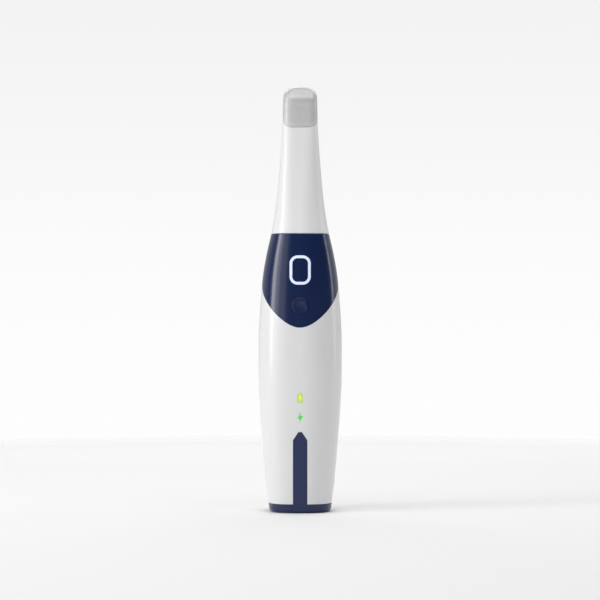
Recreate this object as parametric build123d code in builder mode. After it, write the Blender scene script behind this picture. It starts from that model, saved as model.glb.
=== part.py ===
from build123d import *
import os
from math import copysign, cos, pi, radians, sin

# Wireless intraoral scanner, standing on its foot. Millimetres, Z up, the button side faces -Y.
# The origin is the middle of the foot's underside.

# Outside form
seat_height = 153.3
tip_length = 82.3
head_length = 18.4
grip_width = 46.4
grip_depth = 42.0
tip_width = 19.3
tip_depth = 16.8
tip_setback = 2.0
body_height = seat_height + tip_length

# Walls and clearances
wall = 2.0
seam = 0.1
slip = 0.3
snug = 0.05
edge_break = 0.35
overrun = 1.0
section_margin = 0.3
section_spacing = 5.0

# Foot with the pointed tongue that runs up the front
foot_height = 4.8
foot_rounding = 2.2
spigot_height = 3.0
spigot_wall = 1.6
tongue_width = 7.6
tongue_shoulder = 40.1
tongue_apex = 44.6
tongue_gap = 0.15
pad_radius = 1.5
pad_spacing = 6.0
pad_count = 4
pad_thickness = 1.2
pad_setback = 7.0
pocket_depth = 0.5
pocket_margin = 1.5

# Control collar, measured down from the seat of the tip
collar_length = 51.5
collar_back_length = 9.3
deck_thickness = 2.4
light_drop = 20.1
light_width = 11.6
light_height = 16.0
light_rounding = 4.4
light_line = 1.5
light_depth = 1.2
light_leg_diameter = 1.4

# Button
button_drop = 39.6
button_diameter = 9.2
button_dish_diameter = 6.9
button_dish_depth = 0.3
button_gap = 0.2
button_proud = 0.15
button_travel = 0.6
flange_overhang = 0.9
flange_thickness = 0.8
stem_diameter = 3.0

# Indicator windows above the tongue
battery_light_level = 63.5
battery_light_width = 2.7
battery_light_height = 5.3
battery_nub_width = 1.2
battery_nub_height = 0.6
charge_light_level = 52.8
charge_light_width = 3.0
charge_light_height = 5.5

# Battery pack and its bay
cell_diameter = 18.4
cell_length = 65.0
case_wall = 1.2
case_spare_width = 3.0
case_rounding = 6.0
case_headroom = 7.5
case_board_thickness = 1.0
terminal_radius = 0.9
terminal_proud = 0.4
terminal_spacing = 3.2
terminal_count = 4
bay_wall = 1.2
bay_roof = 1.5
bay_lift = 1.2
bay_headroom = 1.6
spring_pin_radius = 0.6
rib_thickness = 1.4

# Tabs in the front shell that reach behind the rear shell's edge
tab_length = 7.0
tab_reach = 2.4
tab_root = 3.5
tab_thickness = 1.1

# Frame, boards and what they carry
frame_thickness = 2.0
frame_width = 24.0
ear_rise = 8.0
ear_radius = 2.6
boss_radius = 2.5
screw_radius = 0.8
screw_head_radius = 1.5
screw_head_height = 1.0
screw_grip = 4.0
standoff_height = 2.3
standoff_radius = 1.8
board_width = 18.0
board_thickness = 1.2
board_drop = 16.3
board_hole_inset = 2.2
switch_size = 6.0
switch_height = 2.0
switch_well = 1.6
chip_height = 1.1
processor_size = 8.0
memory_width = 3.2
radio_width = 11.0
radio_length = 15.0
radio_height = 1.6
radio_drop = 30.0
led_size = 1.6
led_height = 0.6
indicator_board_width = 9.0
indicator_board_thickness = 0.8
indicator_board_margin = 4.5
indicator_pad_height = 0.8

# Optics
nose_wall = 1.3
nose_base_inset = 4.2
nose_top_inset = 2.2
nose_drop = 31.1
nose_flange = 2.2
nose_screw_count = 4
nose_glass_thickness = 1.2
nose_glass_ledge = 0.7
seal_height = 1.2
seal_depth = 1.0
barrel_wall = 0.7
barrel_play = 0.4
barrel_drop = 8.0
lens_thickness = 2.6
lens_bulge = 0.7
block_width = 21.0
block_wall = 2.5
block_drop = 10.3
barrel_socket = 9.0
splitter_size = 11.0
splitter_play = 0.1
sensor_size = 8.0
sensor_height = 1.2
sensor_pocket = 2.0
light_hole_radius = 4.0
light_hole_length = 2.8
camera_board_width = 17.0
camera_board_depth = 13.0
projector_radius = 5.0
projector_length = 3.8
projector_board_size = 13.0
projector_board_thickness = 1.0

# Tip
sleeve_wall = 1.5
hood_drop = 17.1
hood_wall = 1.8
hood_crown = 3.1
hood_edge_break = 0.5
mirror_thickness = 1.2
mirror_ledge = 1.4
facet_depth = 0.45
frame_margin = 1.0
pane_ledge = 0.7
pane_thickness = 1.0
aperture_side_wall = 2.15
aperture_height = 15.0
aperture_drop = 17.6
aperture_rounding = 2.0
window_pad_thickness = 2.2

# Sections of the handle: height as a share of the seat height, half width as a share of
# half the grip's width, half depth as a share of half its depth, and squareness
handle_shares = (
    (0.000, 0.733, 0.750, 2.70),
    (0.110, 0.823, 0.830, 2.65),
    (0.241, 0.897, 0.900, 2.60),
    (0.3705, 0.961, 0.962, 2.50),
    (0.501, 0.998, 0.998, 2.50),
    (0.631, 0.9925, 0.985, 2.45),
    (0.762, 0.944, 0.930, 2.40),
    (0.849, 0.891, 0.875, 2.40),
    (0.935, 0.793, 0.795, 2.45),
    (1.000, 0.694, 0.720, 2.50),
)
# Sections of the neck: height from the seat to the head, how much of the seat's extra width,
# extra depth is left, how much of the set-back is reached, and squareness
neck_shares = (
    (0.159, 0.708, 0.715, 0.10, 2.60),
    (0.369, 0.446, 0.450, 0.30, 2.90),
    (0.579, 0.262, 0.265, 0.55, 3.30),
    (0.790, 0.108, 0.110, 0.80, 3.80),
)
# Sections of the head: height, half width, reach to the front and to the back of the tip's
# centre as shares of its own sizes, and squareness
head_shares = (
    (0.000, 1.000, 1.000, 1.000, 4.20),
    (0.397, 0.984, 0.990, 0.990, 4.20),
    (0.614, 0.969, 0.976, 0.976, 4.00),
    (0.723, 0.948, 0.786, 0.964, 3.60),
    (0.832, 0.870, 0.548, 0.893, 3.20),
    (0.9185, 0.715, 0.310, 0.762, 2.90),
    (0.973, 0.528, 0.095, 0.571, 2.60),
    (1.000, 0.352, -0.071, 0.405, 2.40),
)
# Rise of the collar's lower edge from front to back, one share for each turn step
edge_rise_shares = (0.00, 0.12, 0.375, 0.62, 0.82, 0.95, 1.00)
edge_step = 30
outline_steps = 16
rib_height_shares = (0.15, 0.45, 0.92)
tab_height_shares = (0.30, 0.68)
# Half of the lightning sign as shares of its width and height; the other half is it turned round
bolt_half_shares = ((0.12, 0.50), (-0.50, -0.13), (-0.06, -0.13))
# Places of the small parts low on the main board, as shares of the board left under the switch
power_chip_shares = ((-0.22, 0.66, 0.30, 0.26), (0.22, 0.62, 0.22, 0.34), (0.00, 0.24, 0.50, 0.22))


def station_list():
    """Height, half width, front, back and squareness of each section of the outside."""
    stations = []
    for rise, width, depth, squareness in handle_shares:
        half_depth = depth * grip_depth / 2
        stations.append((rise * seat_height, width * grip_width / 2, -half_depth, half_depth, squareness))
    seat_width, seat_depth = stations[-1][1], stations[-1][3]
    head_base = body_height - head_length
    for rise, width, depth, setback, squareness in neck_shares:
        half_width = tip_width / 2 + width * (seat_width - tip_width / 2)
        half_depth = tip_depth / 2 + depth * (seat_depth - tip_depth / 2)
        centre = setback * tip_setback
        level = seat_height + rise * (head_base - seat_height)
        stations.append((level, half_width, centre - half_depth, centre + half_depth, squareness))
    for rise, width, front, back, squareness in head_shares:
        stations.append((
            head_base + rise * head_length,
            width * tip_width / 2,
            tip_setback - front * tip_depth / 2,
            tip_setback + back * tip_depth / 2,
            squareness,
        ))
    return stations


stations = station_list()


def slope_at(place, column):
    """Slope of one column of the stations: none at a peak, so that the form never overshoots."""
    if place in (0, len(stations) - 1):
        near = 1 if place == 0 else place - 1
        rise = stations[near][0] - stations[place][0]
        return (stations[near][column] - stations[place][column]) / rise
    below, own, above = stations[place - 1:place + 2]
    lower_rise, upper_rise = own[0] - below[0], above[0] - own[0]
    lower = (own[column] - below[column]) / lower_rise
    upper = (above[column] - own[column]) / upper_rise
    if lower * upper <= 0:
        return 0
    lower_weight = 2 * upper_rise + lower_rise
    upper_weight = upper_rise + 2 * lower_rise
    return (lower_weight + upper_weight) / (lower_weight / lower + upper_weight / upper)


def form_at(height):
    """Half width, front, back and squareness of the outside at a height."""
    places = range(1, len(stations))
    place = next((place for place in places if stations[place][0] >= height), places[-1])
    low, high = stations[place - 1], stations[place]
    span = high[0] - low[0]
    share = (height - low[0]) / span
    left = 1 - share
    return [
        low[column] * (1 + 2 * share) * left**2
        + slope_at(place - 1, column) * span * share * left**2
        + high[column] * share**2 * (1 + 2 * left)
        - slope_at(place, column) * span * share**2 * left
        for column in range(1, 5)
    ]


def on_outline(height, inset, turn):
    """Point of the outside at a height, drawn in by an inset; the turn starts at the front."""
    half_width, front, back, squareness = form_at(height)
    across = (half_width - inset) * copysign(abs(sin(turn)) ** (2 / squareness), sin(turn))
    along = ((back - front) / 2 - inset) * copysign(abs(cos(turn)) ** (2 / squareness), cos(turn))
    return (across, (front + back) / 2 - along)


def side_reach(height, inset, along):
    """Half width of the outside, drawn in by an inset, at a height and a place along Y."""
    half_width, front, back, squareness = form_at(height)
    share = abs(along - (front + back) / 2) / ((back - front) / 2 - inset)
    return (half_width - inset) * (1 - share**squareness) ** (1 / squareness)


def outline(height, inset=0):
    """Flat outline of the outside at a height, drawn in by an inset."""
    points = [on_outline(height, inset, 2 * pi * step / outline_steps) for step in range(outline_steps)]
    with BuildSketch() as section:
        with BuildLine():
            Spline(*points, periodic=True)
        make_face()
    return section.sketch


def form_between(low, high, low_inset=0, high_inset=None):
    """Solid that follows the outside from one height to another, drawn in by an inset."""
    high_inset = low_inset if high_inset is None else high_inset
    inner = [station[0] for station in stations
             if low + section_margin < station[0] < high - section_margin]
    levels = [low]
    for level in [*inner, high]:
        span = level - levels[-1]
        count = max(1, round(span / section_spacing))
        levels += [level - span * step / count for step in reversed(range(count))]
    with BuildPart() as form:
        for level in levels:
            share = (level - low) / (high - low)
            with BuildSketch(Plane.XY.offset(level)):
                add(outline(level, low_inset + share * (high_inset - low_inset)))
        loft()
    return form.part


def above_edge(drop=0):
    """Everything above the collar's lower edge: the curve rises evenly from front to back."""
    front_level = seat_height - collar_length - drop
    back_level = seat_height - collar_back_length - drop
    turns = range(0, 360, edge_step)
    curves = []
    for radius in (grip_depth / 8, grip_width):
        points = []
        for turn in turns:
            share = edge_rise_shares[min(turn, 360 - turn) // edge_step]
            height = front_level + share * (back_level - front_level)
            points.append((radius * sin(radians(turn)), -radius * cos(radians(turn)), height))
        curves.append(Edge.make_spline([Vector(*point) for point in points], periodic=True,
                                       parameters=[*turns, 360]))
    with BuildPart() as region:
        extrude(Face.make_surface_from_curves(*curves), amount=seat_height, dir=(0, 0, 1))
    return region.part


def tongue_profile(gap=0):
    """Pointed outline of the tongue on the front, grown by a gap."""
    side = tongue_width / 2 + gap
    with BuildSketch(Plane.XZ) as profile:
        with BuildLine():
            Polyline(
                (-side, foot_height - overrun),
                (side, foot_height - overrun),
                (side, tongue_shoulder + gap / 2),
                (side / 4, tongue_apex + gap),
                (-side / 4, tongue_apex + gap),
                (-side, tongue_shoulder + gap / 2),
                close=True,
            )
        make_face()
    return profile.sketch


def battery_sign(gap=0):
    """Battery outline with its nub, on the front, grown by a gap."""
    with BuildSketch(Plane.XZ) as sign:
        body_tall = battery_light_height - battery_nub_height
        with Locations((0, battery_light_level - battery_nub_height / 2)):
            RectangleRounded(battery_light_width + 2 * gap, body_tall + 2 * gap, battery_light_width / 5)
        with Locations((0, battery_light_level + battery_light_height / 2 - battery_nub_height)):
            Rectangle(battery_nub_width + 2 * gap, 2 * battery_nub_height + 2 * gap)
    return sign.sketch


def charge_sign(gap=0):
    """Lightning sign on the front, grown by a gap."""
    half = [(x * charge_light_width, z * charge_light_height) for x, z in bolt_half_shares]
    corners = half + [(-x, -z) for x, z in half]
    with BuildSketch(Plane.XZ) as sign:
        with BuildLine():
            Polyline(*[(x, charge_light_level + z) for x, z in corners], close=True)
        make_face()
        if gap:
            offset(amount=gap, kind=Kind.INTERSECTION)
    return sign.sketch


def finish(piece, label):
    """Names a finished piece and writes it."""
    piece.part.label = label
    export_step(piece.part, f"parts/{label}.step")


os.makedirs("parts", exist_ok=True)

# Levels and places that several pieces share
deck_level = seat_height - deck_thickness
button_level = seat_height - button_drop
light_level = seat_height - light_drop
case_foot = foot_height
cell_foot = case_foot + seam
case_top = cell_foot + cell_length + case_headroom
case_depth = cell_diameter + 2 * (case_wall + seam)
case_width = case_depth + case_spare_width
bay_foot = foot_height + spigot_height + bay_lift
bay_ceiling = case_top + bay_headroom
bay_top = bay_ceiling + bay_roof
bay_inner_width = case_width + 2 * slip
bay_inner_depth = case_depth + 2 * slip
bay_width = bay_inner_width + 2 * bay_wall
bay_depth = bay_inner_depth + 2 * bay_wall
bay_rounding = case_rounding + slip + bay_wall
frame_back = tip_setback - splitter_size / 2 - block_wall
frame_front = frame_back - frame_thickness
board_back = frame_front - standoff_height
board_front = board_back - board_thickness
board_foot = bay_top + frame_thickness + overrun
board_top = seat_height - board_drop
ear_level = bay_top + ear_rise
ear_reach = side_reach(ear_level, wall, frame_front) - ear_radius - boss_radius / 2
nose_foot = deck_level - nose_flange
nose_top = body_height - nose_drop
nose_screw_inset = (wall + slip + nose_base_inset) / 2
nose_screw_turns = [2 * pi * (step + 1 / 2) / nose_screw_count for step in range(nose_screw_count)]
nose_screws_at = [on_outline(nose_foot, nose_screw_inset, turn) for turn in nose_screw_turns]
seal_level = seat_height + (spigot_height - seal_height) / 2
seal_inset = sleeve_wall + slip + seal_depth
hood_level = body_height - hood_drop

# The slanted plane where the sleeve ends and the hood begins, parallel to the mirror
hood_plane = Plane(origin=(0, 0, hood_level), x_dir=(1, 0, 0), z_dir=(0, -1, 1))

outside = form_between(0, body_height)
cavity = form_between(foot_height - overrun, deck_level, wall)
collar_region = above_edge()

# Foot: its rounded underside, the ring that centres it in the casing, and the tongue
with BuildPart() as tongue:
    extrude(tongue_profile(), amount=grip_depth)
    add(outside, mode=Mode.INTERSECT)
    split(bisect_by=Plane.XY.offset(foot_height), keep=Keep.TOP)
    add(cavity, mode=Mode.SUBTRACT)

with BuildPart() as foot_cap:
    add(outside)
    split(bisect_by=Plane.XY.offset(foot_height), keep=Keep.BOTTOM)
    fillet(foot_cap.edges().group_by(Axis.Z)[0], foot_rounding)
    with BuildSketch(Plane.XY.offset(foot_height)):
        add(outline(foot_height, wall + slip))
        add(outline(foot_height, wall + slip + spigot_wall), mode=Mode.SUBTRACT)
        RectangleRounded(case_width + seam, case_depth + seam, case_rounding, mode=Mode.SUBTRACT)
    extrude(amount=spigot_height)
    add(tongue.part)
    with BuildSketch(Plane.XY):
        with Locations((0, pad_setback)):
            SlotOverall(pad_spacing * pad_count + 2 * pocket_margin, 2 * (pad_radius + pocket_margin))
    extrude(amount=pocket_depth, mode=Mode.SUBTRACT)
    with BuildSketch(Plane.XY.offset(pocket_depth)):
        with Locations((0, pad_setback)):
            with GridLocations(pad_spacing, 0, pad_count, 1):
                Circle(pad_radius + snug)
    extrude(amount=pad_thickness, mode=Mode.SUBTRACT)
finish(foot_cap, "foot_cap")

with BuildPart() as charging_contacts:
    with BuildSketch(Plane.XY.offset(pocket_depth / 2)):
        with Locations((0, pad_setback)):
            with GridLocations(pad_spacing, 0, pad_count, 1):
                Circle(pad_radius)
    extrude(amount=pad_thickness + pocket_depth / 2)
finish(charging_contacts, "charging_contacts")

# Battery case: a rounded sleeve over the cell, closed at the top, standing on the foot
with BuildPart() as battery_case:
    with BuildSketch(Plane.XY.offset(case_foot)):
        RectangleRounded(case_width, case_depth, case_rounding)
    extrude(amount=case_top - case_foot)
    fillet(battery_case.edges().group_by(Axis.Z)[-1], case_wall / 2)
    with BuildSketch(Plane.XY.offset(case_foot)):
        inner_rounding = case_rounding - case_wall
        RectangleRounded(case_width - 2 * case_wall, case_depth - 2 * case_wall, inner_rounding)
    extrude(amount=case_top - case_wall - case_foot, mode=Mode.SUBTRACT)
    with BuildSketch(Plane.XY.offset(case_top - case_wall)):
        with GridLocations(terminal_spacing, 0, terminal_count, 1):
            Circle(terminal_radius + snug)
    extrude(amount=case_wall, mode=Mode.SUBTRACT)
finish(battery_case, "battery_case")

with BuildPart() as battery_cell:
    with BuildSketch(Plane.XY.offset(cell_foot)):
        Circle(cell_diameter / 2)
    extrude(amount=cell_length)
    fillet(battery_cell.edges(), case_wall / 2)
    with BuildSketch(Plane.XY.offset(cell_foot + cell_length)):
        Circle(cell_diameter / 6)
    extrude(amount=case_wall)
finish(battery_cell, "battery_cell")

case_board_level = cell_foot + cell_length + case_headroom / 2
with BuildPart() as battery_board:
    with BuildSketch(Plane.XY.offset(case_board_level)):
        inner_gap = case_wall + snug
        RectangleRounded(case_width - 2 * inner_gap, case_depth - 2 * inner_gap, case_rounding - case_wall)
    extrude(amount=case_board_thickness)
finish(battery_board, "battery_board")

with BuildPart() as battery_terminals:
    with BuildSketch(Plane.XY.offset(case_board_level + case_board_thickness)):
        with GridLocations(terminal_spacing, 0, terminal_count, 1):
            Circle(terminal_radius)
    extrude(amount=case_top + terminal_proud - case_board_level - case_board_thickness)
finish(battery_terminals, "battery_terminals")

# Casing: the hollow leaves ribs round the battery bay and two screw bosses at the front
rib_levels = [bay_foot + share * (bay_top - bay_foot) for share in rib_height_shares]
with BuildPart() as hollow:
    add(cavity)
    with BuildSketch(Plane.XY.offset(bay_foot)):
        RectangleRounded(bay_width + 2 * seam, bay_depth + 2 * seam, bay_rounding)
    extrude(amount=bay_top - bay_foot)
    for level in rib_levels:
        with BuildSketch(Plane.XY.offset(level - rib_thickness / 2)):
            Rectangle(2 * grip_width, 2 * grip_depth)
            RectangleRounded(bay_width + 2 * seam, bay_depth + 2 * seam, bay_rounding, mode=Mode.SUBTRACT)
        extrude(amount=rib_thickness, mode=Mode.SUBTRACT)
    with BuildSketch(Plane.XZ.offset(-frame_front)):
        with Locations((ear_reach, ear_level), (-ear_reach, ear_level)):
            Circle(boss_radius)
    extrude(amount=grip_depth, mode=Mode.SUBTRACT)

with BuildPart() as casing:
    add(outside)
    split(bisect_by=Plane.XY.offset(foot_height + seam), keep=Keep.TOP)
    split(bisect_by=Plane.XY.offset(deck_level), keep=Keep.BOTTOM)
    add(above_edge(seam), mode=Mode.SUBTRACT)
    add(hollow.part, mode=Mode.SUBTRACT)

root_width = tab_thickness + slip + wall / 2
tab_levels = [bay_foot + share * (bay_top - bay_foot) for share in tab_height_shares]
with BuildPart() as front_shell:
    add(casing.part)
    split(bisect_by=Plane.XZ.offset(-tip_setback), keep=Keep.TOP)
    for level in tab_levels:
        skin = min(side_reach(level + end, wall, tip_setback + tab_reach)
                   for end in (-tab_length / 2, tab_length / 2))
        with BuildSketch(Plane.XY.offset(level - tab_length / 2)):
            for side in (1, -1):
                with Locations((side * (skin - slip - tab_thickness / 2), tip_setback + tab_reach / 2)):
                    Rectangle(tab_thickness, tab_reach)
                with Locations((side * (skin + wall / 2 - root_width / 2), tip_setback - tab_root / 2)):
                    Rectangle(root_width, tab_root)
        extrude(amount=tab_length)
    extrude(tongue_profile(tongue_gap), amount=grip_depth, mode=Mode.SUBTRACT)
    extrude(battery_sign(snug), amount=grip_depth, mode=Mode.SUBTRACT)
    extrude(charge_sign(snug), amount=grip_depth, mode=Mode.SUBTRACT)
    with BuildSketch(Plane.XZ.offset(-frame_front)):
        with Locations((ear_reach, ear_level), (-ear_reach, ear_level)):
            Circle(screw_radius + snug)
    extrude(amount=screw_grip + snug, mode=Mode.SUBTRACT)
finish(front_shell, "front_shell")

with BuildPart() as rear_shell:
    add(casing.part)
    split(bisect_by=Plane.XZ.offset(-tip_setback - seam), keep=Keep.BOTTOM)
finish(rear_shell, "rear_shell")

# Bay: a tube on the ribs with a roof that carries the spring pins and pads for the indicator board
indicator_back = -bay_depth / 2 - indicator_pad_height
indicator_front = indicator_back - indicator_board_thickness
indicator_foot = charge_light_level - charge_light_height / 2 - indicator_board_margin
indicator_top = battery_light_level + battery_light_height / 2 + indicator_board_margin
with BuildPart() as battery_bay:
    with BuildSketch(Plane.XY.offset(bay_foot)):
        RectangleRounded(bay_width, bay_depth, bay_rounding)
    extrude(amount=bay_top - bay_foot)
    with BuildSketch(Plane.XY.offset(bay_foot)):
        RectangleRounded(bay_inner_width, bay_inner_depth, bay_rounding - bay_wall)
    extrude(amount=bay_ceiling - bay_foot, mode=Mode.SUBTRACT)
    with BuildSketch(Plane.XY.offset(bay_ceiling)):
        with GridLocations(terminal_spacing, 0, terminal_count, 1):
            Circle(spring_pin_radius + snug)
    extrude(amount=bay_roof, mode=Mode.SUBTRACT)
    with BuildSketch(Plane.XZ.offset(bay_depth / 2 - bay_wall / 2)):
        for level in (indicator_foot, indicator_top):
            with Locations((0, level)):
                Rectangle(indicator_board_width, indicator_pad_height)
    extrude(amount=bay_wall / 2 + indicator_pad_height)
finish(battery_bay, "battery_bay")

with BuildPart() as bay_contacts:
    with BuildSketch(Plane.XY.offset(case_top + terminal_proud + slip)):
        with GridLocations(terminal_spacing, 0, terminal_count, 1):
            Circle(spring_pin_radius)
    extrude(amount=bay_top - case_top - terminal_proud - slip)
finish(bay_contacts, "bay_contacts")

with BuildPart() as indicator_board:
    with BuildSketch(Plane.XZ.offset(-indicator_back)):
        with Locations((0, (indicator_foot + indicator_top) / 2)):
            RectangleRounded(indicator_board_width, indicator_top - indicator_foot, edge_break)
    extrude(amount=indicator_board_thickness)
finish(indicator_board, "indicator_board")

with BuildPart() as indicator_leds:
    with BuildSketch(Plane.XZ.offset(-indicator_front)):
        with Locations((0, battery_light_level), (0, charge_light_level)):
            Rectangle(led_size, led_size)
    extrude(amount=led_height)
finish(indicator_leds, "indicator_leds")

# Indicator windows: light pipes from the board to the skin, flush with it
for sign, label in ((battery_sign(), "battery_light"), (charge_sign(), "charge_light")):
    with BuildPart() as window:
        extrude(sign, amount=grip_depth)
        split(bisect_by=Plane.XZ.offset(led_height + slip - indicator_front), keep=Keep.TOP)
        add(outside, mode=Mode.INTERSECT)
    finish(window, label)

# Control collar: a closed ring with a deck on top, the spigot for the tip, and its openings
skin_front = form_at(button_level)[1]
land = skin_front + wall
leg_reach = light_width / 2 - light_line / 2


def light_ring(gap):
    """Ring of the status light in the front skin, grown by a gap."""
    inner = 2 * (light_line + gap)
    with BuildPart() as ring:
        with BuildSketch(Plane.XZ):
            with Locations((0, light_level)):
                RectangleRounded(light_width + 2 * gap, light_height + 2 * gap, light_rounding + gap)
                RectangleRounded(light_width - inner, light_height - inner, light_rounding - inner / 2,
                                 mode=Mode.SUBTRACT)
        extrude(amount=grip_depth)
        add(form_between(button_level, seat_height, light_depth + gap), mode=Mode.SUBTRACT)
        with BuildSketch(Plane.XZ.offset(led_height + slip - gap - board_front)):
            with Locations((leg_reach, light_level), (-leg_reach, light_level)):
                Circle(light_leg_diameter / 2 + gap)
        extrude(amount=grip_depth)
        if not gap:
            add(outside, mode=Mode.INTERSECT)
    return ring.part


with BuildPart() as control_collar:
    add(outside)
    split(bisect_by=Plane.XY.offset(seat_height), keep=Keep.BOTTOM)
    add(collar_region, mode=Mode.INTERSECT)
    add(cavity, mode=Mode.SUBTRACT)
    fillet(control_collar.edges().group_by(Axis.Z)[-1], edge_break)
    add(form_between(seat_height, seat_height + spigot_height, sleeve_wall + slip))
    add(form_between(nose_foot, nose_top, nose_base_inset - snug, nose_top_inset - snug),
        mode=Mode.SUBTRACT)
    with BuildSketch(Plane.XY.offset(seal_level - snug)):
        add(outline(seal_level))
        add(outline(seal_level, seal_inset), mode=Mode.SUBTRACT)
    extrude(amount=seal_height + 2 * snug, mode=Mode.SUBTRACT)
    with BuildSketch(Plane.XZ.offset(-frame_front)):
        with Locations((0, button_level)):
            Circle(button_diameter / 2 + button_gap)
    extrude(amount=grip_depth, mode=Mode.SUBTRACT)
    with BuildSketch(Plane.XZ.offset(-frame_front)):
        with Locations((0, button_level)):
            Circle(button_diameter / 2 + flange_overhang + slip)
    extrude(amount=frame_front - land, mode=Mode.SUBTRACT)
    add(light_ring(snug), mode=Mode.SUBTRACT)
    with BuildSketch(Plane.XY.offset(deck_level)):
        with Locations(*nose_screws_at):
            Circle(screw_radius + snug)
    extrude(amount=deck_thickness * 3 / 4, mode=Mode.SUBTRACT)
finish(control_collar, "control_collar")

with BuildPart() as status_light:
    add(light_ring(0))
finish(status_light, "status_light")

with BuildPart() as nose_seal:
    with BuildSketch(Plane.XY.offset(seal_level)):
        add(outline(seal_level + seal_height, sleeve_wall + slip))
        add(outline(seal_level, seal_inset - snug), mode=Mode.SUBTRACT)
    extrude(amount=seal_height)
finish(nose_seal, "nose_seal")

# Button: a dished cap that stands a little proud, a flange behind the collar's wall and a stem
dish_radius = (button_dish_diameter**2 / 4 + button_dish_depth**2) / (2 * button_dish_depth)
switch_front = board_front - switch_height
with BuildPart() as scan_button:
    with BuildSketch(Plane.XZ.offset(-land - seam)):
        with Locations((0, button_level)):
            Circle(button_diameter / 2)
    extrude(amount=grip_depth)
    add(form_between(button_level - button_diameter, button_level + button_diameter, -button_proud),
        mode=Mode.INTERSECT)
    fillet(scan_button.faces().sort_by(Axis.Y)[0].edges(), edge_break)
    with Locations((0, skin_front - button_proud + button_dish_depth - dish_radius, button_level)):
        Sphere(dish_radius, mode=Mode.SUBTRACT)
    with BuildSketch(Plane.XZ.offset(-land - seam)):
        with Locations((0, button_level)):
            Circle(button_diameter / 2 + flange_overhang)
    extrude(amount=-flange_thickness)
    with BuildSketch(Plane.XZ.offset(-land - seam)):
        with Locations((0, button_level)):
            Circle(stem_diameter / 2)
    extrude(amount=land + seam - switch_front - switch_well + button_travel + slip)
finish(scan_button, "scan_button")

# Nose: a tapered tube under the deck with a floor for the barrel and a glass in its top
barrel_top = nose_top - barrel_drop
barrel_share = (barrel_top - nose_foot) / (nose_top - nose_foot)
barrel_inset = nose_base_inset + barrel_share * (nose_top_inset - nose_base_inset) + nose_wall
half_width_there, front_there, back_there, _ = form_at(barrel_top)
barrel_room = min(half_width_there, tip_setback - front_there, back_there - tip_setback)
barrel_radius = barrel_room - barrel_inset - barrel_play
glass_inset = nose_top_inset + nose_wall - nose_glass_ledge
with BuildPart() as optical_nose:
    add(form_between(nose_foot, nose_top, nose_base_inset, nose_top_inset))
    add(form_between(nose_foot, deck_level, wall + slip))
    add(form_between(deck_level, nose_top - nose_glass_thickness - nose_wall,
                     nose_base_inset + nose_wall, nose_top_inset + nose_wall), mode=Mode.SUBTRACT)
    with BuildSketch(Plane.XY.offset(nose_top)):
        add(outline(nose_top, glass_inset + 2 * nose_glass_ledge))
    extrude(amount=-nose_glass_thickness - nose_wall - overrun, mode=Mode.SUBTRACT)
    with BuildSketch(Plane.XY.offset(nose_top)):
        add(outline(nose_top, glass_inset))
    extrude(amount=-nose_glass_thickness, mode=Mode.SUBTRACT)
    with BuildSketch(Plane.XY.offset(nose_foot)):
        with Locations((0, tip_setback)):
            Circle(barrel_radius + snug)
        with Locations(*nose_screws_at):
            Circle(screw_radius + snug)
    extrude(amount=nose_flange, mode=Mode.SUBTRACT)
finish(optical_nose, "optical_nose")

with BuildPart() as nose_window:
    with BuildSketch(Plane.XY.offset(nose_top - nose_glass_thickness)):
        add(outline(nose_top, glass_inset + snug))
    extrude(amount=nose_glass_thickness)
finish(nose_window, "nose_window")

block_top = seat_height - block_drop
chamber_top = block_top - barrel_socket
chamber_floor = chamber_top - splitter_size - 2 * splitter_play
block_foot = chamber_floor - light_hole_length - sensor_pocket
with BuildPart() as lens_barrel:
    with BuildSketch(Plane.XY.offset(chamber_top)):
        with Locations((0, tip_setback)):
            Circle(barrel_radius)
            Circle(barrel_radius - barrel_wall, mode=Mode.SUBTRACT)
    extrude(amount=barrel_top - chamber_top)
finish(lens_barrel, "lens_barrel")


def lens(level):
    """Lens with two bulging faces that fits the barrel, its lowest point at a level."""
    radius = barrel_radius - barrel_wall - snug
    curvature = (radius**2 + lens_bulge**2) / (2 * lens_bulge)
    with BuildPart() as disc:
        with BuildSketch(Plane.XY.offset(level)):
            with Locations((0, tip_setback)):
                Circle(radius)
        extrude(amount=lens_thickness)
        for middle in (level + curvature, level + lens_thickness - curvature):
            with Locations((0, tip_setback, middle)):
                Sphere(curvature, mode=Mode.INTERSECT)
    return disc


finish(lens(barrel_top - lens_thickness - nose_wall), "objective_lens")
finish(lens(block_top), "relay_lens")

# Optics block: a bored block with the beam splitter inside, the sensor below and the projector behind
splitter_middle = chamber_floor + splitter_size / 2
with BuildPart() as optics_block:
    with BuildSketch(Plane.XY.offset(block_foot)):
        with Locations((0, tip_setback)):
            RectangleRounded(block_width, splitter_size + 2 * block_wall, block_wall / 2)
    extrude(amount=block_top - block_foot)
    with BuildSketch(Plane.XY.offset(chamber_floor)):
        with Locations((0, tip_setback - block_wall / 2 - overrun / 2)):
            side = splitter_size + 2 * splitter_play
            Rectangle(side, side + block_wall + overrun)
    extrude(amount=chamber_top - chamber_floor, mode=Mode.SUBTRACT)
    with BuildSketch(Plane.XY.offset(chamber_top)):
        with Locations((0, tip_setback)):
            Circle(barrel_radius + snug)
    extrude(amount=barrel_socket, mode=Mode.SUBTRACT)
    with BuildSketch(Plane.XY.offset(block_foot)):
        with Locations((0, tip_setback)):
            Circle(light_hole_radius)
    extrude(amount=chamber_floor - block_foot, mode=Mode.SUBTRACT)
    with BuildSketch(Plane.XY.offset(block_foot)):
        with Locations((0, tip_setback)):
            Rectangle(sensor_size + 2 * slip, sensor_size + 2 * slip)
    extrude(amount=sensor_pocket, mode=Mode.SUBTRACT)
    with BuildSketch(Plane.XZ.offset(-tip_setback)):
        with Locations((0, splitter_middle)):
            Circle(projector_radius + snug)
    extrude(amount=-splitter_size / 2 - block_wall - overrun, mode=Mode.SUBTRACT)
finish(optics_block, "optics_block")

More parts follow.
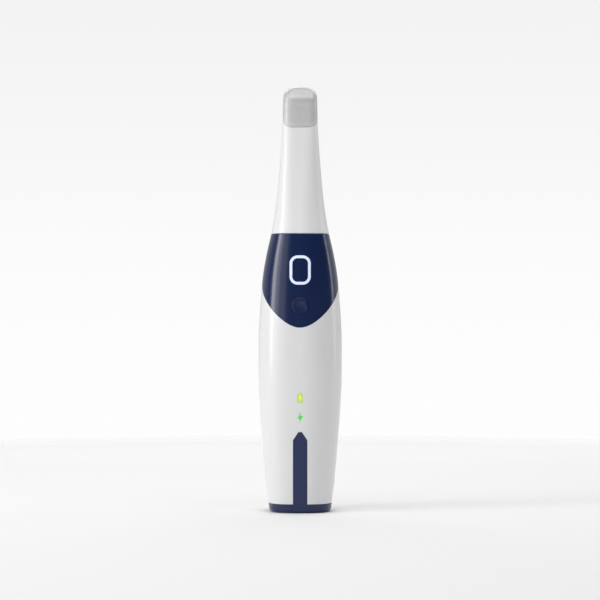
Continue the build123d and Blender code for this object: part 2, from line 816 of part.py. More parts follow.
with BuildPart() as beam_splitter:
    with BuildSketch(Plane.XY.offset(chamber_floor)):
        with Locations((0, tip_setback)):
            Rectangle(splitter_size, splitter_size)
    extrude(amount=splitter_size)
    chamfer(beam_splitter.edges(), edge_break)
finish(beam_splitter, "beam_splitter")

with BuildPart() as camera_board:
    with BuildSketch(Plane.XY.offset(block_foot - board_thickness)):
        with Locations((0, tip_setback)):
            RectangleRounded(camera_board_width, camera_board_depth, edge_break)
    extrude(amount=board_thickness)
finish(camera_board, "camera_board")

with BuildPart() as image_sensor:
    with BuildSketch(Plane.XY.offset(block_foot)):
        with Locations((0, tip_setback)):
            Rectangle(sensor_size, sensor_size)
    extrude(amount=sensor_height)
finish(image_sensor, "image_sensor")

projector_front = tip_setback + splitter_size / 2 + splitter_play + slip
with BuildPart() as projector_module:
    with BuildSketch(Plane.XZ.offset(-projector_front)):
        with Locations((0, splitter_middle)):
            Circle(projector_radius)
    extrude(amount=-projector_length)
    fillet(projector_module.edges(), edge_break)
finish(projector_module, "projector_module")

with BuildPart() as projector_board:
    with BuildSketch(Plane.XZ.offset(-projector_front - projector_length)):
        with Locations((0, splitter_middle)):
            RectangleRounded(projector_board_size, projector_board_size, edge_break)
    extrude(amount=-projector_board_thickness)
finish(projector_board, "projector_board")

# Frame: a folded plate with a shelf on the bay's roof, a head under the nose, ears and standoffs
board_holes = (
    (0, board_top - board_hole_inset),
    (board_width / 2 - board_hole_inset, board_foot + board_hole_inset),
    (board_hole_inset - board_width / 2, board_foot + board_hole_inset),
)
head_reach = side_reach(nose_foot - frame_thickness, wall + slip + frame_thickness, frame_front)
with BuildPart() as inner_frame:
    with BuildSketch(Plane.XZ.offset(-frame_back)):
        with BuildLine():
            Polyline(
                (-frame_width / 2, bay_top),
                (frame_width / 2, bay_top),
                (frame_width / 2, ear_level + ear_radius),
                (head_reach, nose_foot),
                (-head_reach, nose_foot),
                (-frame_width / 2, ear_level + ear_radius),
                close=True,
            )
        make_face()
        with Locations((0, ear_level)):
            SlotCenterToCenter(2 * ear_reach, 2 * ear_radius)
        with Locations((ear_reach, ear_level), (-ear_reach, ear_level)):
            Circle(screw_radius + snug, mode=Mode.SUBTRACT)
        window_foot = ear_level + 2 * ear_radius
        window_height = (block_foot - window_foot) / 2
        with Locations((0, (window_foot + block_foot) / 2)):
            RectangleRounded(frame_width / 2, window_height, ear_radius / 2, mode=Mode.SUBTRACT)
    extrude(amount=frame_thickness)
    with BuildSketch(Plane.XY.offset(bay_top)):
        RectangleRounded(bay_width - 2 * bay_wall, bay_depth - 2 * bay_wall, bay_rounding - bay_wall)
    extrude(amount=frame_thickness)
    add(form_between(nose_foot - frame_thickness, nose_foot, wall + slip))
    with BuildSketch(Plane.XY.offset(nose_foot - frame_thickness)):
        with Locations((0, tip_setback)):
            Circle(barrel_radius + slip)
        with Locations(*nose_screws_at):
            Circle(screw_radius + snug)
    extrude(amount=frame_thickness, mode=Mode.SUBTRACT)
    with BuildSketch(Plane.XZ.offset(-frame_front)):
        with Locations(*board_holes):
            Circle(standoff_radius)
            Circle(screw_radius + snug, mode=Mode.SUBTRACT)
    extrude(amount=standoff_height)
finish(inner_frame, "inner_frame")

with BuildPart() as frame_screws:
    with BuildSketch(Plane.XZ.offset(-frame_back)):
        with Locations((ear_reach, ear_level), (-ear_reach, ear_level)):
            Circle(screw_head_radius)
    extrude(amount=-screw_head_height)
    with BuildSketch(Plane.XZ.offset(-frame_back)):
        with Locations((ear_reach, ear_level), (-ear_reach, ear_level)):
            Circle(screw_radius)
    extrude(amount=frame_thickness + screw_grip)
finish(frame_screws, "frame_screws")

with BuildPart() as nose_screws:
    with BuildSketch(Plane.XY.offset(nose_foot - frame_thickness)):
        with Locations(*nose_screws_at):
            Circle(screw_head_radius)
    extrude(amount=-screw_head_height)
    with BuildSketch(Plane.XY.offset(nose_foot - frame_thickness)):
        with Locations(*nose_screws_at):
            Circle(screw_radius)
    extrude(amount=frame_thickness + nose_flange + deck_thickness / 2)
finish(nose_screws, "nose_screws")

with BuildPart() as main_board:
    with BuildSketch(Plane.XZ.offset(-board_back)):
        with Locations((0, (board_foot + board_top) / 2)):
            RectangleRounded(board_width, board_top - board_foot, overrun)
        with Locations(*board_holes):
            Circle(screw_radius + snug, mode=Mode.SUBTRACT)
    extrude(amount=board_thickness)
finish(main_board, "main_board")

with BuildPart() as board_screws:
    with BuildSketch(Plane.XZ.offset(-board_front)):
        with Locations(*board_holes):
            Circle(screw_head_radius)
    extrude(amount=screw_head_height)
    with BuildSketch(Plane.XZ.offset(-board_front)):
        with Locations(*board_holes):
            Circle(screw_radius)
    extrude(amount=-board_thickness - standoff_height)
finish(board_screws, "board_screws")

processor_level = (button_level + light_level) / 2
memory_place = (processor_size + memory_width) / 2 + slip
power_span = button_level - switch_size / 2 - board_foot
with BuildPart() as board_chips:
    with BuildSketch(Plane.XZ.offset(-board_front)):
        with Locations((0, processor_level)):
            Rectangle(processor_size, processor_size)
        with Locations((memory_place, processor_level), (-memory_place, processor_level)):
            Rectangle(memory_width, processor_size - memory_width / 2)
        for across, up, width, height in power_chip_shares:
            with Locations((across * board_width, board_foot + up * power_span)):
                Rectangle(width * board_width, height * power_span)
    extrude(amount=chip_height)
finish(board_chips, "board_chips")

with BuildPart() as button_switch:
    with BuildSketch(Plane.XZ.offset(-board_front)):
        with Locations((0, button_level)):
            RectangleRounded(switch_size, switch_size, edge_break)
    extrude(amount=switch_height)
    with BuildSketch(Plane.XZ.offset(-switch_front)):
        with Locations((0, button_level)):
            Circle(stem_diameter / 2 + slip)
    extrude(amount=-switch_well, mode=Mode.SUBTRACT)
finish(button_switch, "button_switch")

with BuildPart() as status_leds:
    with BuildSketch(Plane.XZ.offset(-board_front)):
        with Locations((leg_reach, light_level), (-leg_reach, light_level)):
            Rectangle(led_size, led_size)
    extrude(amount=led_height)
finish(status_leds, "status_leds")

with BuildPart() as wireless_module:
    with BuildSketch(Plane.XZ.offset(-board_back)):
        with Locations((0, board_top - radio_drop)):
            RectangleRounded(radio_width, radio_length, edge_break)
    extrude(amount=-radio_height)
finish(wireless_module, "wireless_module")

# Tip: the sleeve with its seat for the mirror and the frame of its window
aperture_level = body_height - aperture_drop
aperture_width = tip_width - 2 * (sleeve_wall + aperture_side_wall)
pane_width = aperture_width + 2 * pane_ledge
pane_height = aperture_height + 2 * pane_ledge
pane_rounding = aperture_rounding + pane_ledge
frame_wide = pane_width + 2 * frame_margin
frame_tall = pane_height + 2 * frame_margin
facet = form_at(aperture_level)[2] - facet_depth
pad_front = facet - window_pad_thickness
tip_cavity = form_between(seat_height - overrun, body_height - hood_crown, sleeve_wall)
mirror_back = mirror_thickness + 2 * snug
with BuildPart() as mirror_rest:
    with BuildSketch(hood_plane.offset(-mirror_back)):
        Rectangle(2 * tip_width, 4 * tip_width)
    extrude(amount=-mirror_thickness)
    add(form_between(seat_height, body_height - hood_crown, sleeve_wall + mirror_ledge), mode=Mode.SUBTRACT)

with BuildPart() as tip_hollow:
    add(tip_cavity)
    add(mirror_rest.part, mode=Mode.SUBTRACT)
    with BuildSketch(Plane.XZ.offset(-pad_front)):
        with Locations((0, aperture_level)):
            RectangleRounded(frame_wide, frame_tall, pane_rounding)
    extrude(amount=-tip_depth, mode=Mode.SUBTRACT)

with BuildPart() as tip_sleeve:
    add(outside)
    split(bisect_by=Plane.XY.offset(seat_height + snug), keep=Keep.TOP)
    split(bisect_by=hood_plane, keep=Keep.BOTTOM)
    fillet(tip_sleeve.edges().group_by(Axis.Z)[0], edge_break)
    add(tip_hollow.part, mode=Mode.SUBTRACT)
    with BuildSketch(Plane.XZ.offset(-facet)):
        with Locations((0, aperture_level)):
            RectangleRounded(frame_wide, frame_tall, pane_rounding)
    extrude(amount=-tip_depth, mode=Mode.SUBTRACT)
    with BuildSketch(Plane.XZ.offset(-facet)):
        with Locations((0, aperture_level)):
            RectangleRounded(pane_width, pane_height, pane_rounding)
    extrude(amount=pane_thickness, mode=Mode.SUBTRACT)
    with BuildSketch(Plane.XZ.offset(-facet)):
        with Locations((0, aperture_level)):
            RectangleRounded(aperture_width, aperture_height, aperture_rounding)
    extrude(amount=window_pad_thickness, mode=Mode.SUBTRACT)
finish(tip_sleeve, "tip_sleeve")

with BuildPart() as scan_window:
    with BuildSketch(Plane.XZ.offset(-facet)):
        with Locations((0, aperture_level)):
            RectangleRounded(pane_width - 2 * snug, pane_height - 2 * snug, pane_rounding - snug)
    extrude(amount=pane_thickness)
finish(scan_window, "scan_window")

with BuildPart() as tip_mirror:
    with BuildSketch(hood_plane.offset(-snug)):
        Rectangle(2 * tip_width, 4 * tip_width)
    extrude(amount=-mirror_thickness)
    add(form_between(seat_height, body_height - hood_crown, sleeve_wall + snug), mode=Mode.INTERSECT)
    split(bisect_by=Plane.XZ.offset(snug - pad_front), keep=Keep.TOP)
finish(tip_mirror, "tip_mirror")

with BuildPart() as tip_hood:
    add(outside)
    split(bisect_by=hood_plane, keep=Keep.TOP)
    rim_axis = Axis(hood_plane.origin, hood_plane.z_dir)
    chamfer(tip_hood.faces().sort_by(rim_axis)[0].edges(), hood_edge_break)
    add(form_between(seat_height, body_height - hood_crown, hood_wall), mode=Mode.SUBTRACT)
finish(tip_hood, "tip_hood")
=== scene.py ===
import bpy
from math import cos, pi, radians, sin
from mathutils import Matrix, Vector


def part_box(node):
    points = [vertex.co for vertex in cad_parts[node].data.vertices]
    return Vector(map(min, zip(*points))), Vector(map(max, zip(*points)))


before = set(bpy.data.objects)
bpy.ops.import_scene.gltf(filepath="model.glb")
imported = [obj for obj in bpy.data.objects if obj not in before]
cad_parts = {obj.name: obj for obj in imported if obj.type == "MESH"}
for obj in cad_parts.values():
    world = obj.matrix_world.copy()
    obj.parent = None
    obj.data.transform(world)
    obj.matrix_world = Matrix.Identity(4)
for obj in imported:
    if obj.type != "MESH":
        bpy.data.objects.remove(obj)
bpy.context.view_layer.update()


# Stage: a round sheet of white paper, a hair below the scanner's foot. Its colour holds painted
# light: darker near the camera, lighter towards the far wall and close round the foot, where it
# thins the foot's shadow. Its rim fades away, so that the floor and the bright room behind it run
# into each other from every side.
paper_radius = 0.66
paper_solid_radius = 0.52
paper_rings = 8
paper_sectors = 96
paper_drop = 0.0001
paper_near, paper_far = -0.45, 0.50
foot_painted_light_start, foot_painted_light_end = 0.018, 0.060
wall_painted_light_start, wall_painted_light_end = 0.27, 0.48
paper_cloud = 0.4


class Wire:
    """An output of a finish: sums and products of wires become Math nodes."""

    def __init__(self, finish, socket):
        self.finish = finish
        self.socket = socket

    def math(self, operation, *values, clamp=False):
        settings = {"operation": operation, "use_clamp": clamp}
        return self.finish.node("ShaderNodeMath", settings, dict(enumerate(values)))

    def __add__(self, other):
        return self.math("ADD", self, other)

    def __radd__(self, other):
        return self.math("ADD", other, self)

    def __sub__(self, other):
        return self.math("SUBTRACT", self, other)

    def __rsub__(self, other):
        return self.math("SUBTRACT", other, self)

    def __mul__(self, other):
        return self.math("MULTIPLY", self, other)

    def __rmul__(self, other):
        return self.math("MULTIPLY", other, self)

    def __truediv__(self, other):
        return self.math("DIVIDE", self, other)

    def __pow__(self, other):
        return self.math("POWER", self, other)

    def __abs__(self):
        return self.math("ABSOLUTE", self)

    def limited(self):
        """The same number, held between nought and one."""
        return self.math("ADD", self, 0.0, clamp=True)


class Nodes:
    """A tree of nodes, and the shader at its end that they feed."""

    def __init__(self, tree, shader):
        self.tree = tree
        self.shader = tree.nodes[shader]

    def node(self, kind, settings=None, inputs=None, output=0):
        """A node of a type: its settings come first, then the values or wires of its sockets."""
        made = self.tree.nodes.new(kind)
        for setting, value in (settings or {}).items():
            setattr(made, setting, value)
        for socket, value in (inputs or {}).items():
            if isinstance(value, Wire):
                self.tree.links.new(value.socket, made.inputs[socket])
            else:
                made.inputs[socket].default_value = value
        return Wire(self, made.outputs[output])

    def split(self, vector, axis):
        """One number of a vector."""
        return self.node("ShaderNodeSeparateXYZ", inputs={0: vector}, output="XYZ".index(axis))

    def eased(self, value, start, end, low=0.0, high=1.0):
        """A number that goes from low to high, with soft ends, as the value goes from start to end."""
        return self.node("ShaderNodeMapRange", {"interpolation_type": "SMOOTHSTEP"}, {
            0: value, 1: start, 2: end, 3: low, 4: high,
        })

    def mixed(self, share, first, second):
        """A colour between two others."""
        return self.node("ShaderNodeMix", {"data_type": "RGBA"}, {0: share, 6: first, 7: second}, output=2)

    def feed(self, socket, wire):
        """Lets a wire drive one socket of the shader."""
        self.tree.links.new(wire.socket, self.shader.inputs[socket])


class Finish(Nodes):
    """One surface finish: a material and the nodes that vary its shader."""

    def __init__(self, name, **sockets):
        self.material = bpy.data.materials.new(name)
        self.material.use_nodes = True
        super().__init__(self.material.node_tree, "Principled BSDF")
        for socket, value in sockets.items():
            self.shader.inputs[socket.replace("_", " ")].default_value = value

    def everywhere(self):
        return self.node("ShaderNodeTexCoord", output="Object")

    def place(self, axis):
        """Place on the object along X, Y or Z, in metres."""
        return self.split(self.everywhere(), axis)

    def grain(self, size, detail=2.0):
        """Smooth random numbers between nought and one, with spots of a size in metres."""
        return self.node("ShaderNodeTexNoise", {"noise_dimensions": "3D"}, {
            "Vector": self.everywhere(), "Scale": 1 / size, "Detail": detail,
        })

    def relief(self, height, depth):
        """Raises the surface by a height between nought and one, times a depth in metres."""
        self.feed("Normal", self.node("ShaderNodeBump", inputs={
            "Strength": 1.0, "Distance": depth, "Height": height,
        }))

    def dress(self, *nodes):
        """Puts the finish on nodes of the frame."""
        for name in nodes:
            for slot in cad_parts[name].material_slots:
                slot.material = self.material


def round_sheet(name, radius, rings, sectors, level):
    """A flat round sheet of so many rings and sectors, at a level."""
    points = [
        (radius * ring / rings * cos(2 * pi * sector / sectors),
         radius * ring / rings * sin(2 * pi * sector / sectors), level)
        for ring in range(rings + 1)
        for sector in range(sectors)
    ]
    faces = [
        (ring * sectors + sector, ring * sectors + (sector + 1) % sectors,
         (ring + 1) * sectors + (sector + 1) % sectors, (ring + 1) * sectors + sector)
        for ring in range(rings)
        for sector in range(sectors)
    ]
    mesh = bpy.data.meshes.new(name)
    mesh.from_pydata(points, [], faces)
    mesh.shade_smooth()
    made = bpy.data.objects.new(name, mesh)
    bpy.context.scene.collection.objects.link(made)
    return made


paper = round_sheet("paper_floor", paper_radius, paper_rings, paper_sectors, -paper_drop)
paper_white = Finish("paper white", Roughness=0.8, IOR=1.3)
# Painted light: the paper is darker near the camera and lighter far off.
painted_light_to_far = paper_white.eased(paper_white.place("Y"), paper_near, paper_far)
painted_light_and_cloud = painted_light_to_far + 0.02 * paper_white.grain(paper_cloud)
from_middle = (paper_white.place("X") ** 2.0 + paper_white.place("Y") ** 2.0) ** 0.5
# Painted light: the paper is lighter close round the foot, which thins the foot's shadow.
painted_light_by_foot = paper_white.eased(from_middle, foot_painted_light_start, foot_painted_light_end, 0.55, 0.0)
open_paper_with_painted_light = paper_white.mixed(painted_light_and_cloud, (0.76, 0.76, 0.765, 1), (0.88, 0.88, 0.88, 1))
# Painted light: the paper is lighter again towards the far wall.
painted_light_by_wall = paper_white.eased(paper_white.place("Y"), wall_painted_light_start, wall_painted_light_end)
painted_light_share = (painted_light_by_foot + painted_light_by_wall).limited()
paper_white.feed("Base Color", paper_white.mixed(painted_light_share, open_paper_with_painted_light, (0.92, 0.92, 0.92, 1)))
paper_white.feed("Alpha", paper_white.eased(from_middle, paper_solid_radius, paper_radius, 1.0, 0.0))
paper.data.materials.append(paper_white.material)

# Light: a tall soft box on the left with two weak ones beside it, a narrow one behind on the
# right and wide ones overhead and at the back. They stand in a white room whose side behind
# the camera is dim, which keeps the navy deep, while its bright side gives soft rims.
scene = bpy.context.scene
scene.view_settings.view_transform = "Standard"
room = bpy.data.worlds.new("white room")
room.use_nodes = True
scene.world = room
walls = Nodes(room.node_tree, "Background")
look = walls.node("ShaderNodeTexCoord", output="Generated")
dim_glow, bright_glow, floor_glow = 0.06, 0.45, 0.80
bright_side = 0.45
floor_blend = 0.05
seen_level, seen_rise = -0.06, 0.30
seen_bright, seen_pale = 0.985, 0.86
from_level = abs(walls.split(look, "Z") - seen_level)
wall_glow = walls.eased(walls.split(look, "Y"), 0.0, bright_side, dim_glow, bright_glow)
seen_glow = walls.eased(from_level, 0.0, seen_rise, seen_bright, seen_pale)
lit_glow = walls.eased(walls.split(look, "Z"), -floor_blend, 0.0, floor_glow, wall_glow)
seen = walls.node("ShaderNodeLightPath", output="Is Camera Ray")
walls.shader.inputs["Color"].default_value = (1, 1, 1, 1)
walls.feed("Strength", seen * seen_glow + (1 - seen) * lit_glow)


def soft_box(name, place, aim, width, height, radiance):
    """A soft box at a place, turned to the point that it lights, equally bright all over."""
    lamp = bpy.data.lights.new(name, "AREA")
    lamp.shape = "RECTANGLE"
    lamp.size = width
    lamp.size_y = height
    lamp.energy = radiance * pi * width * height
    made = bpy.data.objects.new(name, lamp)
    made.location = place
    made.rotation_euler = (Vector(aim) - Vector(place)).to_track_quat("-Z", "Y").to_euler()
    scene.collection.objects.link(made)


middle = (0.0, 0.0, 0.12)
stand_level = 0.56
stand_height = 1.10
soft_box("left box", (-1.23, -0.46, stand_level), middle, 0.40, stand_height, radiance=5.5)
soft_box("left fill", (-1.03, -0.82, stand_level), middle, 0.36, stand_height, radiance=1.9)
soft_box("front fill", (-0.70, -1.12, stand_level), middle, 0.40, stand_height, radiance=0.85)
soft_box("right box", (1.34, 0.30, stand_level), middle, 0.13, stand_height, radiance=4.1)
soft_box("top box", (0.10, -0.30, 1.50), (0.0, 0.0, 0.0), 1.80, 1.60, radiance=2.2)
soft_box("rear box", (0.0, 1.05, 1.10), (0.0, 0.30, 0.0), 1.60, 0.50, radiance=1.9)

# Camera: on the button's side, level with the middle of the scanner's height. It stands far
# off with a long lens, so the sides of the scanner look nearly parallel.
camera_distance = 1.140
camera_height = 0.1168
camera_aside = -0.00008
lens_length = 123.2
camera = bpy.data.objects.new("camera", bpy.data.cameras.new("camera"))
camera.location = (camera_aside, -camera_distance, camera_height)
camera.rotation_euler = (radians(90), 0, 0)
camera.data.lens = lens_length
camera.data.sensor_width = 36.0
scene.collection.objects.link(camera)
scene.camera = camera

# Foot: a navy moulding with a tongue that closes the slot in the front shell, and slides out
# with the battery pack. Standing and handling have taken some of its gloss.
foot_navy = Finish("navy foot plastic", IOR=1.42, Coat_Weight=0.25, Coat_Roughness=0.22)
foot_cloud = foot_navy.grain(0.02)
foot_tone = foot_navy.mixed(foot_cloud, (0.0055, 0.0150, 0.0790, 1), (0.0064, 0.0168, 0.0850, 1))
foot_navy.feed("Base Color", foot_tone)
foot_navy.feed("Roughness", 0.30 + 0.05 * foot_navy.grain(0.006))
foot_navy.relief(foot_navy.grain(0.0009, detail=1.0), 0.000006)
foot_navy.dress("foot_cap")

# Contacts: turned brass pins plated with gold, pressed into the foot's underside, the battery
# case and the bay. Touching each other leaves fine dull scuffs in the gold.
gold = Finish("gold plating", Metallic=1.0)
rubbed = gold.grain(0.0004, detail=3.0)
gold.feed("Base Color", gold.mixed(rubbed, (0.83, 0.60, 0.25, 1), (0.90, 0.68, 0.32, 1)))
gold.feed("Roughness", 0.16 + 0.22 * rubbed)
gold.relief(gold.grain(0.0002), 0.000004)
gold.dress("charging_contacts", "bay_contacts", "battery_terminals")

# Dark mouldings: the battery case and its bay, the optical nose, the lens barrel, the optics
# block, the projector and the switch. They are black glass-filled nylon, matt so that no stray
# light gets to the sensor, with a slightly cloudy skin and the fine print of an eroded mould.
nylon = Finish("black nylon", IOR=1.5)
nylon_cloud = nylon.grain(0.004, detail=4.0)
nylon.feed("Base Color", nylon.mixed(nylon_cloud, (0.014, 0.014, 0.016, 1), (0.026, 0.026, 0.029, 1)))
nylon.feed("Roughness", 0.46 + 0.18 * nylon_cloud)
nylon.relief(nylon.grain(0.00025, detail=3.0), 0.00002)
nylon.dress("battery_case", "battery_bay", "optical_nose", "lens_barrel", "optics_block",
            "projector_module", "button_switch")

# Battery cell: a steel can in a blue film that is shrunk on with hot air, which leaves faint
# creases round it. It stands upright in the case, under the small board of the terminals.
film = Finish("shrink film", IOR=1.5, Coat_Weight=0.3, Coat_Roughness=0.1)
film.feed("Base Color", film.mixed(film.grain(0.01), (0.015, 0.085, 0.235, 1), (0.020, 0.105, 0.280, 1)))
film.feed("Roughness", 0.25 + 0.15 * film.grain(0.003))
film.relief(film.grain(0.0025, detail=3.0), 0.00008)
film.dress("battery_cell")

# Circuit boards: glass fibre with a green mask over copper tracks, which stand a little proud
# and shine through lighter. The main board is screwed to the frame, and each of the small
# ones sits on the piece that it serves.
mask = Finish("solder mask", IOR=1.5, Coat_Weight=0.4, Coat_Roughness=0.15)
tracks = mask.node("ShaderNodeTexBrick", {"offset": 0.35, "squash": 0.6, "squash_frequency": 3}, {
    "Vector": mask.everywhere(), "Scale": 260.0, "Mortar Size": 0.035, "Mortar Smooth": 0.2,
}, output=1)
mask.feed("Base Color", mask.mixed(tracks, (0.010, 0.075, 0.030, 1), (0.022, 0.150, 0.062, 1)))
mask.feed("Roughness", 0.3 + 0.12 * mask.grain(0.001))
mask.relief(tracks, 0.00003)
mask.dress("main_board", "camera_board", "projector_board", "indicator_board", "battery_board")

# Chips and image sensor: black packages moulded in epoxy with a fine spark-eroded top,
# soldered flat on their boards.
epoxy = Finish("chip epoxy", IOR=1.5)
epoxy_cloud = epoxy.grain(0.0006)
epoxy.feed("Base Color", epoxy.mixed(epoxy_cloud, (0.010, 0.010, 0.011, 1), (0.022, 0.022, 0.024, 1)))
epoxy.feed("Roughness", 0.45 + 0.2 * epoxy.grain(0.0003))
epoxy.relief(epoxy.grain(0.00012), 0.00001)
epoxy.dress("board_chips", "image_sensor")

# Radio module: a can pressed from tinned steel and soldered on the back of the main board,
# dull, with the stain of the flux and a fine rolling grain.
tin = Finish("tinned steel", Metallic=1.0)
tin_stain = tin.grain(0.0012, detail=4.0)
tin.feed("Base Color", tin.mixed(tin_stain, (0.56, 0.56, 0.57, 1), (0.70, 0.70, 0.71, 1)))
tin.feed("Roughness", 0.3 + 0.2 * tin.grain(0.0005))
tin.relief(tin_stain, 0.00001)
tin.dress("wireless_module")

# Lamps: cups of clear resin with a yellow phosphor inside, on the main board behind the status
# light and on the small board behind the signs.
resin = Finish("lamp resin", Roughness=0.15, IOR=1.5, Coat_Weight=0.5)
resin.feed("Base Color", resin.mixed(resin.grain(0.0008), (0.80, 0.78, 0.55, 1), (0.88, 0.86, 0.66, 1)))
resin.relief(resin.grain(0.0004), 0.00001)
resin.dress("status_leds", "indicator_leds")

# Inner frame: a folded aluminium plate, blasted with glass beads and clear anodised. It carries
# the optics and the main board, and is screwed to the front shell and under the collar's deck.
blasted = Finish("blasted aluminium", Metallic=1.0)
blasted_grain = blasted.grain(0.00035, detail=4.0)
blasted.feed("Base Color", blasted.mixed(blasted_grain, (0.62, 0.63, 0.65, 1), (0.72, 0.73, 0.75, 1)))
blasted.feed("Roughness", 0.38 + 0.18 * blasted_grain)
blasted.relief(blasted_grain, 0.00001)
blasted.dress("inner_frame")

# Screws: small flat heads of stainless steel that hold the nose, the frame and the main board,
# with a bright turned face that the driver has scratched.
screw_steel = Finish("screw steel", Metallic=1.0)
screw_wear = screw_steel.grain(0.0005, detail=3.0)
screw_steel.feed("Base Color", screw_steel.mixed(screw_wear, (0.42, 0.42, 0.43, 1), (0.55, 0.55, 0.56, 1)))
screw_steel.feed("Roughness", 0.22 + 0.2 * screw_wear)
screw_steel.relief(screw_wear, 0.00001)
screw_steel.dress("frame_screws", "nose_screws", "board_screws")

# Lenses, beam splitter and windows: ground and polished glass with a faint blue coating
# against reflections, cemented or pressed into their seats.
glass = Finish("coated glass", Roughness=0.02, IOR=1.5, Transmission_Weight=0.92, Coat_Weight=0.2)
glass.feed("Base Color", glass.mixed(glass.grain(0.02), (0.88, 0.91, 0.97, 1), (0.93, 0.95, 0.99, 1)))
glass.dress("nose_window", "scan_window", "objective_lens", "relay_lens", "beam_splitter")

# Seal: a ring of black silicone rubber in a groove round the collar's spigot. It grips the
# sleeve, and takes up a little dust.
rubber = Finish("seal rubber", IOR=1.45)
rubber_dust = rubber.grain(0.002, detail=4.0)
rubber.feed("Base Color", rubber.mixed(rubber_dust, (0.016, 0.016, 0.017, 1), (0.034, 0.033, 0.032, 1)))
rubber.feed("Roughness", 0.55 + 0.2 * rubber_dust)
rubber.relief(rubber.grain(0.0004), 0.00001)
rubber.dress("nose_seal")

# Shells and sleeve: white mouldings of a tough medical plastic with a satin skin. The two
# shells snap together at the sides, and the sleeve pulls off for cleaning. Thin walls let a
# little light in, and the mould's polish leaves faint clouds in the gloss.
white = Finish("white satin plastic", IOR=1.48, Coat_Weight=0.45, Coat_Roughness=0.12,
               Subsurface_Weight=0.08, Subsurface_Scale=0.001, Subsurface_Radius=(1, 1, 1))
white_cloud = white.grain(0.03)
white.feed("Base Color", white.mixed(white_cloud, (0.800, 0.802, 0.807, 1), (0.813, 0.815, 0.820, 1)))
white.feed("Roughness", 0.33 + 0.08 * white.grain(0.004) + 0.03 * white.grain(0.0006))
white.relief(white.grain(0.0003, detail=2.0), 0.000004)
white.dress("front_shell", "rear_shell", "tip_sleeve")

# Collar: one closed ring of the foot's navy plastic, polished in the mould and glued round the
# upper edge of the shells. Its skin has the faint clouds of the polish.
navy = Finish("navy gloss plastic", IOR=1.5, Coat_Weight=0.5, Coat_Roughness=0.22)
navy_cloud = navy.grain(0.02)
navy.feed("Base Color", navy.mixed(navy_cloud, (0.0040, 0.0145, 0.0680, 1), (0.0047, 0.0163, 0.0740, 1)))
navy.feed("Roughness", 0.20 + 0.04 * navy.grain(0.006))
navy.relief(navy.grain(0.0009, detail=1.0), 0.000006)
navy.dress("control_collar")


# Signs: a battery and a lightning bolt, each one a light pipe of clear plastic that ends flush
# in the front shell. The lamp behind it burns brightest in its middle.
def lit_sign(name, node, core, rim):
    """A light pipe whose colour falls from a bright core to a deeper rim."""
    low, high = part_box(node)
    lit = Finish(name, Roughness=0.3, Emission_Strength=0.5)
    aside = abs(lit.place("X") - (low[0] + high[0]) / 2) / ((high[0] - low[0]) / 2)
    up = abs(lit.place("Z") - (low[2] + high[2]) / 2) / ((high[2] - low[2]) / 2)
    away = ((aside ** 2.0 + up ** 2.0) ** 0.5).limited()
    tone = lit.mixed(away, core, rim)
    lit.feed("Base Color", tone)
    lit.feed("Emission Color", tone)
    lit.relief(lit.grain(0.0008), 0.000004)
    lit.dress(node)


lit_sign("battery sign", "battery_light", (0.56, 0.78, 0.055, 1), (0.38, 0.50, 0.09, 1))
lit_sign("charging sign", "charge_light", (0.030, 0.520, 0.022, 1), (0.070, 0.520, 0.060, 1))

# Status light: a ring of milky plastic let into the shield, lit from behind through two legs.
# It spreads the light evenly, so only a faint cloud shows in it.
diffuser = Finish("ring diffuser", Roughness=0.35, Emission_Strength=0.25)
ring_tone = diffuser.mixed(diffuser.grain(0.002), (0.68, 0.75, 0.88, 1), (0.73, 0.80, 0.92, 1))
diffuser.feed("Base Color", ring_tone)
diffuser.feed("Emission Color", ring_tone)
diffuser.relief(diffuser.grain(0.0008), 0.000004)
diffuser.dress("status_light")

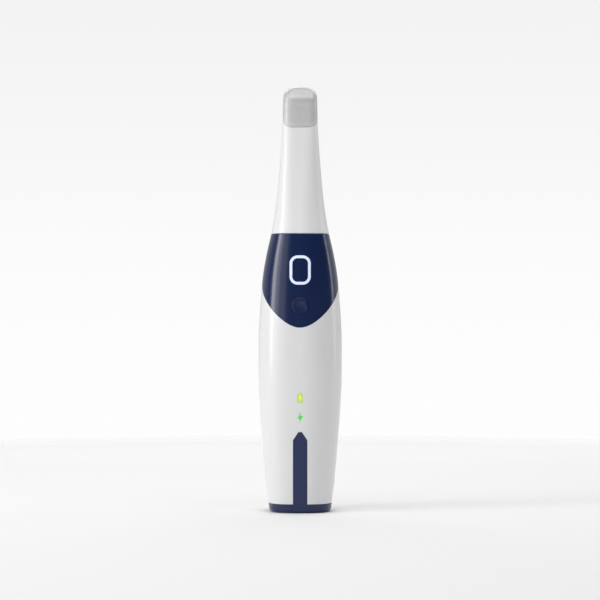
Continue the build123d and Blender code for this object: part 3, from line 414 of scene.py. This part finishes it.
# Button: a navy cap with a shallow dish for the fingertip, held behind the collar's wall by its
# flange. Its skin is left duller than the shield round it, so that the fingertip finds it.
key = Finish("button plastic", IOR=1.46, Coat_Weight=0.20, Coat_Roughness=0.22)
key_cloud = key.grain(0.01)
key.feed("Base Color", key.mixed(key_cloud, (0.0045, 0.0140, 0.0640, 1), (0.0052, 0.0155, 0.0700, 1)))
key.feed("Roughness", 0.32 + 0.06 * key.grain(0.003))
key.relief(key.grain(0.0006, detail=1.0), 0.000004)
key.dress("scan_button")

# Mirror: a glass plate silvered on its face, cemented at a slant on the rest inside the sleeve.
# It turns the scanner's view out through the scan window.
silver = Finish("mirror silver", Metallic=1.0)
silver.feed("Base Color", silver.mixed(silver.grain(0.01), (0.90, 0.90, 0.92, 1), (0.94, 0.94, 0.95, 1)))
silver.feed("Roughness", 0.015 + 0.02 * silver.grain(0.004))
silver.dress("tip_mirror")

# Hood: a light grey moulding that lets a little light through, bonded on the sleeve's slanted
# end over the mirror. Painted shade darkens its side walls and its top, and a painted highlight
# lightens the bonded lip.
hood = Finish("grey hood plastic", IOR=1.48, Coat_Weight=0.6, Coat_Roughness=0.08,
              Subsurface_Weight=0.8, Subsurface_Scale=0.003, Subsurface_Radius=(1, 1, 1))
lip_height = 0.0020
lip_edge = 0.0006
crown_start, crown_end = 0.012, 0.003
side_wall_share = 0.86
hood_low, hood_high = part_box("tip_hood")
# Painted shade: the hood's side walls are darker.
painted_shade_side_walls = hood.eased(abs(hood.place("X") / hood_high[0]), side_wall_share, 1.0)
# Painted shade: the hood's top is darker.
painted_shade_top = hood.eased(hood.place("Z"), hood_high[2] - crown_start, hood_high[2] - crown_end)
# The seam climbs towards the back at 45 degrees.
above_seam = hood.place("Z") - hood.place("Y") - (hood_low[2] - hood_low[1])
# Painted highlight: a lighter band along the bonded lip.
painted_lip_highlight = 1 - hood.eased(above_seam, lip_height, lip_height + lip_edge)
# The hood's tone holds painted shade on its sides and top and a painted highlight on its lip.
hood_painted_light_tone = 0.63 + 0.08 * hood.grain(0.008) - 0.40 * painted_shade_side_walls - 0.60 * painted_shade_top + 0.16 * painted_lip_highlight
hood.feed("Base Color", hood.mixed(hood_painted_light_tone.limited(), (0.42, 0.42, 0.425, 1), (0.69, 0.69, 0.695, 1)))
hood.feed("Roughness", 0.28 + 0.08 * hood.grain(0.003))
hood.relief(hood.grain(0.0006), 0.000005)
hood.dress("tip_hood")
